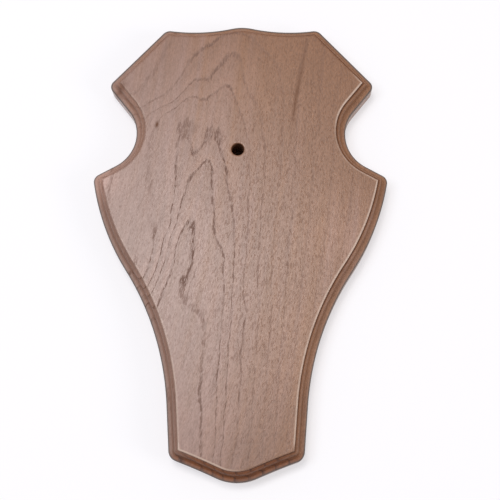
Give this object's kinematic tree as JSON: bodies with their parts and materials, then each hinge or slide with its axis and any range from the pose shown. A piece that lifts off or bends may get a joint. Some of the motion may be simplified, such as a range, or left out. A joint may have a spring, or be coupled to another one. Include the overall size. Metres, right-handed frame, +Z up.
{
  "type": "antler mounting plaque",
  "caption": "Stained oak wall plaque, an eared shield with a moulded edge and a screw hole for mounting a pair of antlers.",
  "frame": {"origin": "middle of the flat back, half way between the crest and the tip, on the centre line", "axes": "+Z up to the crest of the top edge, +X to the right as the front is seen, the front faces -Y and the back faces +Y"},
  "size_m": [0.14, 0.015, 0.22],
  "materials": {
    "stained_oak": "satin brown stain over open-grained oak"
  },
  "bodies": {
    "root": {"plaque_board": "stained_oak"}
  },
  "joints": []
}
